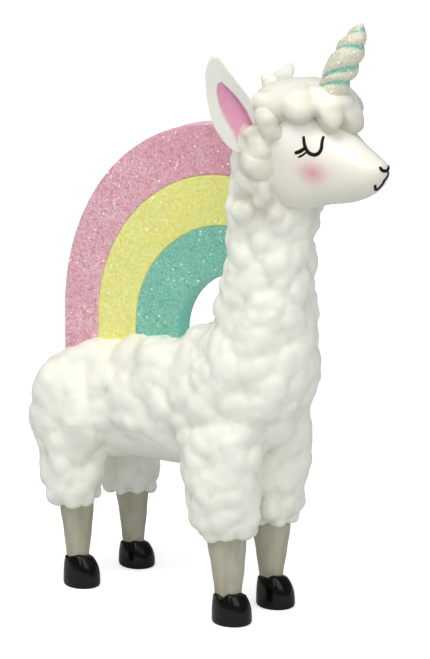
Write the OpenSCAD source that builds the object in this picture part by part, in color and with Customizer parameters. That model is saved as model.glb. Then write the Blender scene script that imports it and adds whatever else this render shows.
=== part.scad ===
// Llama unicorn ornament: a standing cast-resin llama with a spiral horn and a half rainbow on its back.
// Frame: +X is the way it faces, +Y its left side, +Z up; the origin is on the ground under its middle.

/* [Stance] */
// Distance from the front legs back to the rear legs
wheelbase = 54; // [48:0.2:58]
// Distance between the middles of the two front legs
front_track = 19.4; // [18:0.2:24]
// Distance between the middles of the two rear legs
rear_track = 23.6; // [20:0.2:28]
// Place of the front legs ahead of the ornament's middle
front_leg_x = 13; // [10:0.1:16]

/* [Legs] */
// Height of the fleece cuffs above the ground
cuff_z = 24; // [20:0.5:28]
// Width of a front shank under the cuff
front_shank_d = 11.2; // [9.5:0.1:11.8]
// Width of a rear shank under the cuff
rear_shank_d = 9.8; // [8.6:0.1:11]
// Width of a shank at the hoof
shank_low_d = 7.3; // [7:0.1:8.4]
// Height of a hoof at the shank
hoof_h = 9.2; // [8:0.1:11]
// Width of a hoof
hoof_w = 10.4; // [10:0.1:12]
// Length of a hoof from heel to toe
hoof_l = 12; // [11.4:0.1:15]
// How far a hoof stands ahead of its shank
hoof_ahead = 1.6; // [0.5:0.1:2]
// Diameter of the tenons at both ends of a shank
tenon_d = 5.4; // [4.5:0.1:6]
// Length of those tenons
tenon_l = 4; // [3:0.1:5]
// Diameter of the steel wire inside a leg
wire_d = 2.4; // [1.6:0.1:3]
// How far a leg wire runs into the fleece above the cuff
wire_up = 20; // [12:0.5:26]

/* [Fleece body] */
// Width of the barrel of the body
body_w = 36; // [32:0.5:42]
// Height of the barrel of the body
body_h = 37; // [33:0.5:42]
// Height of the belly above the ground
belly_z = 38; // [36:0.5:42]
// Rise of the back from the rear legs to the front legs
back_rise = 6.5; // [3:0.5:9]
// How far the rump stands behind the rear legs
rump_l = 15.2; // [14:0.2:18]
// Length of the fleece on a shoulder
shoulder_l = 28; // [24:0.5:32]
// Length of the fleece on a haunch
haunch_l = 25; // [22:0.5:29]
// Width of a fleece cuff
cuff_d = 15; // [13.5:0.1:17]
// Height of the fleece lumps
lump_h = 1.5; // [0.8:0.1:2]
// Spacing of the fleece lumps
lump_pitch = 9; // [7:0.5:12]

/* [Neck] */
// Thickness of the neck
neck_d = 24.4; // [21:0.2:27]
// Place of the neck ahead of the front legs
neck_ahead = 8.7; // [6:0.1:10]
// Height of the hood's rim above the ground
hood_z = 146; // [143:0.5:149]
// Thickness of the fleece hood round the skull
hood_t = 1.6; // [1:0.1:3]

/* [Head] */
// How far the back of the skull stands behind the middle of the neck
skull_back = 5.5; // [4.5:0.1:6.5]
// Height of the nose above the ground
nose_z = 136; // [133:0.5:140]
// Length of the head from nose to the back of the skull
head_l = 45.2; // [44:0.2:48]
// Height of the skull
skull_h = 30; // [28:0.2:31]
// Width of the skull
skull_w = 23.6; // [21:0.2:25]
// Width of the muzzle
muzzle_w = 11.6; // [9:0.2:14]
// Height of the fleece crown over the hood's rim
crown_h = 12; // [11:0.2:15]
// How far the fringe stands out over the forehead
fringe_l = 4.5; // [3:0.1:6]
// Depth of the notches between the lobes of the fringe
notch_in = 2.2; // [1:0.1:3]
// Height of the bevel under the lobes of the fringe
bevel_h = 2.8; // [1.5:0.1:3.5]
// Diameter of the steel pin in the neck
neck_pin_d = 4; // [3:0.1:5]
// How far that pin stands ahead of the middle of the neck
neck_pin_ahead = 4; // [2:0.1:6]

/* [Horn] */
// Length of the horn
horn_l = 24.4; // [18:0.2:26]
// Width of the horn where it is thickest
horn_d = 9.4; // [8:0.1:11]
// How far the middle of the horn's foot stands behind the front of the fringe
horn_back = 8.7; // [8:0.1:12]
// How deep the horn's foot sits under the top of the crown
horn_sink = 2.6; // [2:0.1:4]
// Forward lean of the horn
horn_lean = 28; // [15:1:32]
// Turns of each of the two twisted strands
horn_turns = 1.85; // [1:0.05:3]
// Depth of the spiral grooves
horn_groove = 0.85; // [0.3:0.05:0.9]
// Diameter of the steel pin under the horn
horn_pin_d = 2; // [1.2:0.1:2.6]

/* [Ears] */
// Length of the right ear
ear_right_l = 24; // [20:0.5:28]
// Length of the left ear
ear_left_l = 21; // [18:0.5:24]
// Width of an ear
ear_w = 12; // [10:0.2:14]
// Thickness of an ear's wall
ear_t = 2.4; // [1.8:0.1:3]
// How far the ears stand ahead of the back of the skull
ear_ahead = 5; // [4:0.1:7]
// How deep the foot of an ear sits in the side of the skull and under the hood's rim
ear_sink = 1.4; // [1:0.1:2]
// Depth of the hollow of an ear
ear_cup = 3; // [1.5:0.1:4]
// Outward lean of the right ear, which stands up
ear_right_lean = 27; // [10:1:35]
// Backward lean of the right ear
ear_right_back = 13; // [5:1:25]
// Outward lean of the left ear, which is cocked to the side
ear_left_lean = 57; // [48:1:62]
// Backward lean of the left ear
ear_left_back = 43; // [36:1:50]
// Turn of the right ear's hollow from the front towards the side
ear_right_turn = 50; // [35:1:65]
// Turn of the left ear's hollow from the front towards the side
ear_left_turn = 100; // [80:1:110]
// Diameter of the round plug under an ear
ear_plug_d = 7; // [6.4:0.1:8]

/* [Rainbow] */
// Outer radius of the rainbow
rainbow_r = 63.5; // [62:0.5:65]
// Width of one band
band_w = 14.4; // [13:0.1:14.8]
// Thickness of the bands
rainbow_t = 5.8; // [4:0.1:6]
// Height of the middle of the arch above the ground
arch_z = 77.5; // [76:0.5:79]
// How far the outer band's foot stands ahead of the rump
foot_ahead = 2.9; // [2:0.1:4]
// How deep the upper ends of the bands run into the neck
neck_sink = 4; // [3:0.1:5]
// How far the outer band's foot sinks into the back
foot_sink = 6; // [4:0.1:8]
// Rounding of a band's long edges
band_edge = 1.1; // [0.5:0.1:1.6]
// Diameter of the steel pins in the feet of the bands
band_pin_d = 2; // [1.2:0.1:2.6]

/* [Tail] */
// Length of the tail tuft
tail_l = 15; // [12:0.5:20]
// Width of the tail tuft
tail_w = 8.4; // [6:0.2:10]

/* [Fits] */
// Gap left for glue between two castings
glue_gap = 0.1; // [0.05:0.01:0.2]
// Gap left round the foot of an ear in the fleece
ear_clear = 0.9; // [0.5:0.1:1.5]
// Gap round a steel pin or wire in its bore
pin_gap = 0.05; // [0.03:0.01:0.15]

/* [Hidden] */
$fn = 48;

// Sides of a lump on a skin, counted round and along it
lump_sides = 3;
// Lumps round the barrel and neck, and round a trouser
barrel_lumps = 12;
trouser_lumps = 7;
// Points along the edge of each lobe of the crown
lobe_points = 5;

// Places along the body
rear_leg_x = front_leg_x - wheelbase;
rump_x = rear_leg_x - rump_l;
neck_x = front_leg_x + neck_ahead;
skull_x = neck_x - skull_back;
nose_x = skull_x + head_l;
barrel_z = belly_z + body_h / 2;
barrel_r = body_h / 2;
barrel_half_w = body_w / 2;
neck_r = neck_d / 2;
skull_z = hood_z - skull_h * 0.1533;
arch_x = rump_x + foot_ahead + rainbow_r;
arch_end_x = neck_x - neck_r + neck_sink;
inner_r = rainbow_r - 3 * band_w;
// Angle swept by the arch before its upper end is cut square
arch_sweep = 125;

// Legs: [place along X, place along Y, width of the shank under the cuff]
front_right = [front_leg_x, -front_track / 2, front_shank_d];
front_left = [front_leg_x, front_track / 2, front_shank_d];
rear_right = [rear_leg_x, -rear_track / 2, rear_shank_d];
rear_left = [rear_leg_x, rear_track / 2, rear_shank_d];

// Smooth curve through four neighbours of a list, from the second to the third
function catmull(a, b, c, d, t) =
    (2 * b + (c - a) * t + (2 * a - 5 * b + 4 * c - d) * t * t + (3 * b - a - 3 * c + d) * t * t * t) / 2;

function pick(list, i) = list[max(0, min(len(list) - 1, i))];

// Values of a list of stations at a place counted in stations
function along(list, t) =
    let (i = min(floor(t), len(list) - 2))
    catmull(pick(list, i - 1), list[i], list[i + 1], pick(list, i + 2), t - i);

// Soft step from 0 to 1
function ease(x) = let (f = max(0, min(1, x))) f * f * (3 - 2 * f);

// Repeatable scatter of a lump's place and size, from 0 to 1
function scatter(row, col, n) =
    let (v = 467.3 * sin(97.1 * row + 151.7 * col + 61.3 * n))
    v - floor(v);

// One lump of a brick pattern: a dome round a scattered middle, over a place counted in rows and columns
function dome(row, col, k, c, around) =
    let (w = (c + 2 * around) % around)
    let (u = row - k - 0.3 - 0.4 * scatter(k, w, 1))
    let (v = col - c - 0.3 - 0.4 * scatter(k, w, 2) - abs(k % 2) / 2)
    let (r = 0.66 + 0.16 * scatter(k, w, 3))
    let (size = 0.6 + 0.4 * scatter(k, w, 4))
    size * sqrt(max(0, 1 - (u * u + v * v) / (r * r)));

// Relief of the lumps: near 1 on a lump, 0 in the creases
function lump(row, col, around) =
    max([for (k = [floor(row) - 1 : floor(row) + 1]) for (c = [floor(col) - 2 : floor(col) + 1])
        dome(row, col, k, c, around)]);

// Closed skin over a stack of rings with equal numbers of points
module skin(rings) {
    n = len(rings[0]);
    m = len(rings);
    walls = [
        for (i = [0 : m - 2]) for (j = [0 : n - 1])
            let (a = i * n + j)
            let (b = i * n + (j + 1) % n)
            each [[a, a + n, b + n], [a, b + n, b]]
    ];
    foot = [for (j = [0 : n - 1]) j];
    cap = [for (j = [n - 1 : -1 : 0]) (m - 1) * n + j];
    polyhedron([for (r = rings) each r], concat([foot], walls, [cap]));
}

// Barrel and neck: stations of [x, z, lean of the section, half height, half width], from rump to hood rim
spine = [
    [rump_x, barrel_z - 4, 0, 5, 5],
    [rump_x + 4, barrel_z - 3.5, 0, barrel_r * 0.65, barrel_half_w * 0.74],
    [rear_leg_x, barrel_z - back_rise / 2.4, 0, barrel_r - back_rise / 5, barrel_half_w * 0.95],
    [rear_leg_x + wheelbase / 3, barrel_z, 0, barrel_r, barrel_half_w],
    [front_leg_x - wheelbase / 3, barrel_z + back_rise / 2.5, 6, barrel_r + back_rise / 8, barrel_half_w],
    [front_leg_x - 2.6, barrel_z + back_rise + 3, 32, barrel_r + back_rise / 8, barrel_half_w * 1.03],
    [neck_x - 3.6, barrel_z + back_rise + 13.5, 64, neck_r + 4.4, neck_r + 4.4],
    [neck_x - 2.4, barrel_z + back_rise + 30, 86, neck_r + 1, neck_r + 1.2],
    [neck_x - 0.6, hood_z - 36, 87, neck_r, neck_r],
    [neck_x + 0.4, hood_z - 22, 87, neck_r - 0.2, neck_r],
    [neck_x + 4, hood_z - 9, 89, neck_r, skull_w / 2 + hood_t],
    [neck_x + 4.5, hood_z, 90, neck_r, skull_w / 2 + hood_t]
];
// Distance along the spine to each station
function spine_step(i) = norm([spine[i][0] - spine[i - 1][0], spine[i][1] - spine[i - 1][1]]);
spine_s = [
    for (i = 0, s = 0; i < len(spine); i = i + 1, s = s + (i < len(spine) ? spine_step(i) : 0)) s
];
spine_l = spine_s[len(spine) - 1];

// Place in stations of a distance along the spine
function spine_t(s) =
    let (i = max([for (k = [0 : len(spine) - 2]) if (spine_s[k] <= s + 0.001) k]))
    i + (s - spine_s[i]) / (spine_s[i + 1] - spine_s[i]);

// One ring of the barrel and neck skin: lumps are flatter on the neck, and the belly is smooth and drawn in
function spine_ring(s) =
    let (t = spine_t(s))
    let (p = along(spine, t))
    let (full = 1 - 0.45 * ease((t - 5.8) / 1.2))
    [for (j = [0 : barrel_lumps * lump_sides - 1])
        let (col = j / lump_sides)
        let (a = 360 * col / barrel_lumps)
        let (woolly = 1 - ease(-4 * cos(a) - 0.6) * (1 - ease((t - 4) / 1.2)))
        let (h = lump_h * full * (woolly * lump(s / lump_pitch, col, barrel_lumps) - 0.6))
        let (up = (p[3] + h) * cos(a))
        [p[0] - up * sin(p[2]), -(p[4] + h) * sin(a), p[1] + up * cos(p[2])]];

module barrel_and_neck() {
    steps = ceil(spine_l / lump_pitch * lump_sides);
    skin([for (i = [0 : steps]) spine_ring(min(spine_l * i / steps, spine_l - 0.01))]);
}

// Fleece on a foreleg and a hind leg: stations of [ahead of leg, inward, height, half length, half width]
foreleg = [
    [0, 0, cuff_z, cuff_d / 2, cuff_d / 2],
    [-1.4, -0.4, cuff_z + 5, cuff_d / 2 + 2.6, cuff_d / 2 + 2],
    [-2, -0.6, cuff_z + 12, shoulder_l * 0.415, cuff_d / 2 + 3],
    [-1.8, -0.4, cuff_z + 21, shoulder_l * 0.455, cuff_d / 2 + 3.2],
    [-1.8, 0.4, cuff_z + 30, shoulder_l * 0.49, cuff_d / 2 + 3.2],
    [0, 2.6, cuff_z + 38, shoulder_l * 0.41, cuff_d / 2 + 1],
    [1, 4, cuff_z + 43, shoulder_l * 0.2, cuff_d / 4]
];
hind_leg = [
    [-0.8, 0, cuff_z, cuff_d / 2, cuff_d / 2],
    [-1.2, -0.2, cuff_z + 6, cuff_d / 2 + 0.9, cuff_d / 2 + 0.7],
    [-1.3, -0.2, cuff_z + 14, haunch_l * 0.385, cuff_d / 2 + 1.7],
    [-2.6, 1.2, cuff_z + 22, haunch_l * 0.5, cuff_d / 2 + 3.9],
    [-2.2, 2.2, cuff_z + 30, haunch_l * 0.5, cuff_d / 2 + 4],
    [-1.4, 3, cuff_z + 38, haunch_l * 0.43, cuff_d / 2 + 2.9],
    [-0.2, 5.5, cuff_z + 44.5, haunch_l * 0.24, cuff_d / 3]
];

// One ring of a trouser skin on the right side of the body
function trouser_ring(stations, foot, t, row) =
    let (p = along(stations, t))
    [for (j = [0 : trouser_lumps * lump_sides - 1])
        let (col = j / lump_sides)
        let (a = 360 * col / trouser_lumps)
        let (h = lump_h * (lump(row, col, trouser_lumps) - 0.6))
        [foot[0] + p[0] + (p[3] + h) * cos(a), foot[1] + p[1] + (p[4] + h) * sin(a), p[2]]];

module trouser(stations, foot) {
    last = len(stations) - 1;
    rows = (stations[last][2] - cuff_z) / lump_pitch;
    steps = ceil(rows * lump_sides);
    skin([for (i = [0 : steps])
        trouser_ring(stations, foot, min(last * i / steps, last - 0.001), 0.5 + rows * i / steps)]);
}

// Skull and muzzle: stations of [x, z, half height, half width], from the back of the skull to the nose
skull = [
    [skull_x, skull_z, 3, 3],
    [skull_x + 1.6, skull_z, skull_h * 0.28, skull_w * 0.3],
    [skull_x + head_l * 0.12, skull_z, skull_h * 0.43, skull_w * 0.44],
    [skull_x + head_l * 0.28, skull_z - 1.2, skull_h * 0.527, skull_w * 0.5],
    [skull_x + head_l * 0.44, skull_z - 3.1, skull_h * 0.52, skull_w * 0.5],
    [skull_x + head_l * 0.6, (skull_z + nose_z) / 2 - 2.2, skull_h * 0.4, skull_w * 0.42],
    [skull_x + head_l * 0.77, nose_z - 1.5, skull_h * 0.262, muzzle_w * 0.66],
    [skull_x + head_l * 0.9, nose_z - 1.1, skull_h * 0.182, muzzle_w * 0.48],
    [nose_x - 1.2, nose_z - 0.2, skull_h * 0.11, muzzle_w * 0.28],
    [nose_x, nose_z, 1.4, 1.4]
];

// Rings of the head are round above and fuller below, most of all at the cheeks
module skull_skin(grow = 0, sides = 24, steps = 18) {
    last = len(skull) - 1;
    skin([for (i = [0 : steps])
        let (t = min(last * i / steps, last - 0.001))
        let (p = along(skull, t))
        let (full = 1 - 0.32 * ease((7 - t) / 3))
        [for (j = [0 : sides - 1])
            let (a = 360 * j / sides)
            let (bend = sin(a) < 0 ? full : 1)
            [p[0] + (i == 0 ? -grow : i == steps ? grow : 0),
                (p[3] + grow) * sign(cos(a)) * pow(abs(cos(a)), bend),
                p[1] + (p[2] + grow) * sign(sin(a)) * pow(abs(sin(a)), bend)]]]);
}

// Fleece crown: a dome whose rim is a fringe of lobes, equal on both sides
crown_x = skull_x + head_l * 0.3765;
crown_l = head_l * 0.2832 + fringe_l;
crown_half_w = skull_w / 2 + hood_t + 0.6;
// Notches round the rim from the front to the back: [angle, depth, rise over the lobes]
notches = [
    [18, notch_in, 3],
    [46, notch_in, 4],
    [84, notch_in / 2, 1],
    [114, notch_in / 2, 0.5],
    [146, notch_in / 2, 0.5],
    [180, notch_in / 2, 0.5]
];
// Height of the lower edge of each lobe over the hood's rim, from the front to the back
lobe_low = [-0.8, 0.6, 1.7, 1, 0.2, 0.2];

// Place on a lobe counted from the front lobe:
// [angle, rounding from 0 in a notch to 1, depth, rise, lower edge]
function on_lobe(i, f) =
    let (a = i == 0 ? [-notches[0][0], notches[0][1], notches[0][2]] : notches[i - 1])
    let (b = notches[i])
    let (mix = a + (b - a) * f)
    [mix[0], sqrt(1 - pow(2 * f - 1, 2)), mix[1], mix[2], lobe_low[i]];

rim_places = concat(
    [for (j = [0 : lobe_points - 1]) on_lobe(0, j / lobe_points)],
    [for (i = [1 : 5]) for (j = [0 : lobe_points - 1]) on_lobe(i, j / lobe_points)],
    [for (i = [5 : -1 : 1]) for (j = [0 : lobe_points - 1])
        let (p = on_lobe(i, 1 - j / lobe_points))
        [360 - p[0], p[1], p[2], p[3], p[4]]]
);

// Point of the crown: t is 0 at the top, 1 at its widest and 2 at the lower edge
function on_crown(p, t) =
    let (up = pow(cos(90 * min(1, t)), 0.83))
    let (out = t > 1 ? 1 - 0.15 * pow(t - 1, 2) : pow(sin(90 * t), 0.83))
    let (dent = p[2] * (1 - p[1]) * ease(1.1 - up))
    let (low = p[4] + p[3] * (1 - p[1]))
    let (z = t > 1 ? low + bevel_h * (2 - t) : low + bevel_h + (crown_h - low - bevel_h) * up)
    [
        crown_x + (crown_l * out - dent) * cos(p[0]),
        (crown_half_w * out - dent) * sin(p[0]),
        hood_z + glue_gap + z
    ];

module crown_skin() {
    places = [0.15, 0.4, 0.65, 0.85, 1, 1.5, 2];
    inside = [for (p = rim_places)
        let (q = on_crown(p, 2))
        [crown_x + 0.6 * (q[0] - crown_x), 0.6 * q[1], hood_z + glue_gap + 2]];
    skin(concat([inside], [for (i = [len(places) - 1 : -1 : 0])
        [for (p = rim_places) on_crown(p, places[i])]]));
}

// Space behind the bands' upper ends, in which the arch is kept
module behind_arch_end(gap = 0) {
    back = arch_x - rainbow_r - band_w;
    translate([back, -2 * rainbow_t, 0])
        cube([arch_end_x + gap - back, 4 * rainbow_t, arch_z + rainbow_r + band_w]);
}

// The whole rainbow as one slab with square edges, grown by a gap on every side
module rainbow_space(gap) {
    intersection() {
        translate([arch_x, 0, arch_z])
            mirror([1, 0, 0])
                rotate([90, 0, 0])
                    rotate_extrude(angle = arch_sweep)
                        translate([inner_r - gap, -rainbow_t / 2 - gap])
                            square([3 * band_w + 2 * gap, rainbow_t + 2 * gap]);
        behind_arch_end(gap);
    }
    for (i = [0 : 2])
        translate([arch_x - rainbow_r + i * band_w - gap, -rainbow_t / 2 - gap, band_foot_z(i) - gap])
            cube([band_w + 2 * gap, rainbow_t + 2 * gap, arch_z - band_foot_z(i) + 2 * gap]);
}

// Height of the foot of a band: 0 is the outer one; the back climbs towards the neck
function band_foot_z(i) = barrel_z + barrel_r - foot_sink - 9 + i * back_rise * 0.75;

// Profile of a band across its width, with rounded long edges
module band_profile() {
    w = band_w - glue_gap;
    steps = 5;
    half = rainbow_t / 2;
    corners = [[w, half, 0], [0, half, 90], [0, -half, 180], [w, -half, 270]];
    polygon([
        for (c = corners) for (k = [0 : steps])
            let (a = c[2] + 90 * k / steps)
            let (in_x = c[0] > 0 ? -band_edge : band_edge)
            let (in_y = c[1] > 0 ? -band_edge : band_edge)
            [c[0] + in_x + band_edge * cos(a), c[1] + in_y + band_edge * sin(a)]
    ]);
}

// One band: a straight foot and a quarter of an arch; 0 is the outer one
module band(i) {
    r = rainbow_r - (i + 1) * band_w;
    foot_l = arch_z - band_foot_z(i);
    difference() {
        intersection() {
            translate([arch_x, 0, arch_z])
                mirror([1, 0, 0])
                    union() {
                        rotate([90, 0, 0])
                            rotate_extrude(angle = arch_sweep)
                                translate([r, 0])
                                    band_profile();
                        translate([r, 0, -foot_l])
                            linear_extrude(foot_l)
                                band_profile();
                    }
            behind_arch_end();
        }
        band_pin(i, pin_gap);
    }
}

// Steel pin in the foot of a band
module band_pin(i, gap = 0) {
    pin_l = 12;
    translate([arch_x - rainbow_r + (i + 0.5) * band_w, 0, band_foot_z(i) - pin_l / 2 - gap])
        cylinder(h = pin_l + 2 * gap, d = band_pin_d + 2 * gap);
}

// Steel pin between the neck and the head
module pin_in_neck(gap = 0) {
    pin_l = 24;
    translate([neck_x + neck_pin_ahead, 0, skull_z - pin_l - gap])
        cylinder(h = pin_l + 2 * gap, d = neck_pin_d + 2 * gap);
}

// Place and lean of the horn's foot on the crown
module at_horn() {
    translate([crown_x + crown_l - horn_back, 0, hood_z + crown_h - horn_sink])
        rotate([0, horn_lean, 0])
            children();
}

// Round seat of the horn's foot
module horn_seat() {
    at_horn()
        cylinder(h = horn_l, d = horn_d + 2 * glue_gap);
}

module pin_in_horn(gap = 0) {
    pin_l = 17;
    at_horn()
        translate([0, 0, -pin_l * 0.55 - gap])
            cylinder(h = pin_l + 2 * gap, d = horn_pin_d + 2 * gap);
}

// Place and lean of an ear: side is 1 on the left and -1 on the right
module at_ear(side) {
    lean = side > 0 ? ear_left_lean : ear_right_lean;
    sweep = side > 0 ? ear_left_back : ear_right_back;
    turn = side > 0 ? ear_left_turn : ear_right_turn;
    translate([skull_x + ear_ahead, side * (skull_w / 2 - ear_sink), hood_z - ear_sink])
        rotate([-side * lean, 0, 0])
            rotate([0, -sweep, 0])
                rotate([0, 0, side * turn])
                    children();
}

// Round plug at the foot of an ear
module ear_plug(gap) {
    plug_l = 8;
    plug_top = 2.4;
    translate([0, 0, plug_top - plug_l - gap])
        cylinder(h = plug_l + 2 * gap, d = ear_plug_d + 2 * gap);
}

// Leaf of an ear along +Z, hollowed towards +X: width, bow and wall follow the length
module ear_leaf(gap, length, steps = 10, sides = 10) {
    skin([for (i = [0 : steps])
        let (t = i / steps)
        let (w = gap + max(0.5, ear_w / 2 * pow(sin(14 + 166 * t), 0.6)))
        let (bow = ear_cup * sin(180 * min(1, 0.1 + t)) * (1 - 0.3 * t))
        let (z = 0.6 - gap + (length - 0.6 + 2 * gap) * t)
        [for (j = [0 : 2 * sides - 1])
            let (back = j >= sides)
            let (c = back ? 1 - 2 * (j - sides + 0.5) / sides : -1 + 2 * (j + 0.5) / sides)
            let (rim = gap + ear_t / 2 * sqrt(1 - 0.8 * c * c) * (1 - 0.6 * t * t))
            [bow * c * c - bow / 2 + (back ? -rim : rim), w * c, z]]]);
}

// Round seat that the fleece leaves open round the foot of an ear
module ear_seat(side) {
    at_ear(side)
        sphere(d = ear_plug_d + 2 * ear_clear, $fn = 24);
}

// A whole ear, or with a gap the space that it takes in the fleece
module ear(side, gap = 0) {
    at_ear(side)
        union() {
            ear_plug(gap);
            ear_leaf(gap, side > 0 ? ear_left_l : ear_right_l);
        }
}

// Foot of a leg from its place: a tapered shank with a tenon at both ends, bored for its wire
module shank(foot) {
    color("#a5a290")
        difference() {
            translate([foot[0], foot[1], 0]) {
                translate([0, 0, hoof_h + glue_gap])
                    cylinder(h = cuff_z - hoof_h - 2 * glue_gap, d1 = shank_low_d, d2 = foot[2]);
                translate([0, 0, hoof_h - tenon_l])
                    cylinder(h = cuff_z - hoof_h + 2 * tenon_l, d = tenon_d);
            }
            leg_wire_rod(foot, pin_gap);
        }
}

// Socket of a shank's tenon, from its lower end
module tenon_socket(foot, z) {
    translate([foot[0], foot[1], z - glue_gap])
        cylinder(h = tenon_l + 2 * glue_gap, d = tenon_d + 2 * glue_gap);
}

// Hoof: a flat sole with a round heel and a full toe, drawn in to the shank
module hoof(foot) {
    steps = 6;
    sides = 20;
    color("#1b1918")
        difference() {
            skin([for (i = [0 : steps])
                let (t = i / steps)
                let (z = hoof_h * t)
                let (full = i == 0 ? 0.93 : cos(75 * pow(t, 1.7)))
                let (r = shank_low_d / 2 + 0.7)
                let (half_w = r + (hoof_w / 2 - r) * full)
                let (half_l = r + (hoof_l / 2 - r) * full)
                [for (j = [0 : sides - 1])
                    let (a = 360 * j / sides)
                    [foot[0] + hoof_ahead * full + half_l * cos(a), foot[1] + half_w * sin(a), z]]]);
            tenon_socket(foot, hoof_h - tenon_l);
            leg_wire_rod(foot, pin_gap);
        }
}

// Steel wire through a leg
module leg_wire_rod(foot, gap = 0) {
    low = hoof_h - tenon_l - 3;
    translate([foot[0], foot[1], low - gap])
        cylinder(h = cuff_z + wire_up - low + 2 * gap, d = wire_d + 2 * gap);
}

module leg_wire(foot) {
    color("#8d9093") leg_wire_rod(foot);
}

// Tail tuft hanging behind the rump, with a peg into it
tail_z = barrel_z - 3;
module tail_peg(gap = 0) {
    peg_d = 4;
    peg_l = 9;
    translate([rump_x - 3, 0, tail_z])
        rotate([0, 90, 0])
            cylinder(h = peg_l + gap, d = peg_d + 2 * gap);
}

module tail_tuft() {
    steps = 8;
    sides = 14;
    color("#eeeee6")
        union() {
            tail_peg();
            skin([for (i = [0 : steps])
                let (t = i / steps)
                let (w = tail_w / 2 * max(0.12, sin(24 + 150 * t)))
                [for (j = [0 : sides - 1])
                    let (a = 360 * j / sides)
                    let (h = 0.5 * lump_h * lump(0.5 + 2.2 * t, a * 5 / 360, 5))
                    [rump_x - 0.8 - 0.6 * w - 1.2 * t + (0.6 * w + h / 2) * cos(a), -(w + h) * sin(a),
                        tail_z + 3 - tail_l * t]]]);
        }
}

module body_fleece() {
    color("#eeeee6")
        difference() {
            union() {
                barrel_and_neck();
                trouser(foreleg, front_right);
                trouser(hind_leg, rear_right);
                mirror([0, 1, 0]) trouser(foreleg, front_right);
                mirror([0, 1, 0]) trouser(hind_leg, rear_right);
            }
            skull_skin(glue_gap);
            rainbow_space(glue_gap);
            pin_in_neck(pin_gap);
            tail_peg(pin_gap);
            for (i = [0 : 2]) band_pin(i, pin_gap);
            for (side = [-1, 1]) {
                ear(side, glue_gap);
                ear_seat(side);
            }
            for (foot = [front_right, front_left, rear_right, rear_left]) {
                tenon_socket(foot, cuff_z);
                leg_wire_rod(foot, pin_gap);
            }
        }
}

module head() {
    color("#f6f5ef")
        difference() {
            skull_skin();
            pin_in_neck(pin_gap);
            pin_in_horn(pin_gap);
            horn_seat();
            for (side = [-1, 1]) ear(side, glue_gap);
        }
}

module crown_fleece() {
    color("#eeeee6")
        difference() {
            crown_skin();
            skull_skin(glue_gap);
            pin_in_horn(pin_gap);
            horn_seat();
            for (side = [-1, 1]) ear(side, glue_gap);
        }
}

module ear_right() {
    color("#efeee6") ear(-1);
}

module ear_left() {
    color("#efeee6") ear(1);
}

// Spiral horn: a cone of two strands, drawn in by the two grooves that climb between them
module horn() {
    steps = 30;
    sides = 20;
    strands = 2;
    start = 0.3;
    color("#dfe6dd")
        difference() {
            at_horn()
                skin([for (i = [0 : steps])
                    let (t = i / steps)
                    let (r = horn_d / 2 * (0.92 + 0.27 * t - 1.13 * pow(t, 4)))
                    [for (j = [0 : sides - 1])
                        let (a = 360 * j / sides)
                        let (turn = strands * (horn_turns * t + start - j / sides))
                        let (dip = horn_groove * pow(1 - abs(sin(180 * turn)), 2) * (1 - t))
                        [(r - dip) * cos(a), (r - dip) * sin(a), glue_gap + horn_l * t]]]);
            pin_in_horn(pin_gap);
        }
}

module horn_pin() {
    color("#9a9da0") pin_in_horn();
}

module neck_pin() {
    color("#9a9da0") pin_in_neck();
}

module rainbow_outer() {
    color("#d9a3ad") band(0);
}

module rainbow_middle() {
    color("#e3e08a") band(1);
}

module rainbow_inner() {
    color("#7fc2b0") band(2);
}

module rainbow_pins() {
    color("#9a9da0")
        for (i = [0 : 2]) band_pin(i);
}

body_fleece();
tail_tuft();
head();
crown_fleece();
ear_right();
ear_left();
horn();
horn_pin();
neck_pin();
rainbow_outer();
rainbow_middle();
rainbow_inner();
rainbow_pins();
shank(front_right);  // shank_front_right
shank(front_left);  // shank_front_left
shank(rear_right);  // shank_rear_right
shank(rear_left);  // shank_rear_left
hoof(front_right);  // hoof_front_right
hoof(front_left);  // hoof_front_left
hoof(rear_right);  // hoof_rear_right
hoof(rear_left);  // hoof_rear_left
leg_wire(front_right);  // leg_wire_front_right
leg_wire(front_left);  // leg_wire_front_left
leg_wire(rear_right);  // leg_wire_rear_right
leg_wire(rear_left);  // leg_wire_rear_left
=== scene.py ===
import bpy
import numpy as np
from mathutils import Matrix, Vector


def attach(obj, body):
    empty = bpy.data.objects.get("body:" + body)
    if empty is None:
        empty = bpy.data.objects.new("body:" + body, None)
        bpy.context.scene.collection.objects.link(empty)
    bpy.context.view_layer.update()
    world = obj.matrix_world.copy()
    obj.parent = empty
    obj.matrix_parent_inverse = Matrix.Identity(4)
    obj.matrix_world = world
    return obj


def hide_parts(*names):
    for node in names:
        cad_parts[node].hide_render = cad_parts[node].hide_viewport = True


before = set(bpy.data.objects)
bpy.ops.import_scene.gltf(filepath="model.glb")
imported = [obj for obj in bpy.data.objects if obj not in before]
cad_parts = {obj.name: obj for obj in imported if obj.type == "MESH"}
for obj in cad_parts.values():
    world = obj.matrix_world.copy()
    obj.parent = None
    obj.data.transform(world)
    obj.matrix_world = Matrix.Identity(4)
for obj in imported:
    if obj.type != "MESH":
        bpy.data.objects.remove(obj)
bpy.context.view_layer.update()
print("frame loaded:", len(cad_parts), "nodes")

# Lengths below are in millimetres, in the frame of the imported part: +X is the way the llama faces, +Y its left side.
mm = 0.001


# Colours are written as sRGB hex and turned into the linear values that shaders take.
def colour(code):
    s = np.array([int(code[i:i + 2], 16) for i in (1, 3, 5)]) / 255
    linear = np.where(s <= 0.04045, s / 12.92, ((s + 0.055) / 1.055) ** 2.4)
    return (*linear.tolist(), 1.0)


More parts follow.
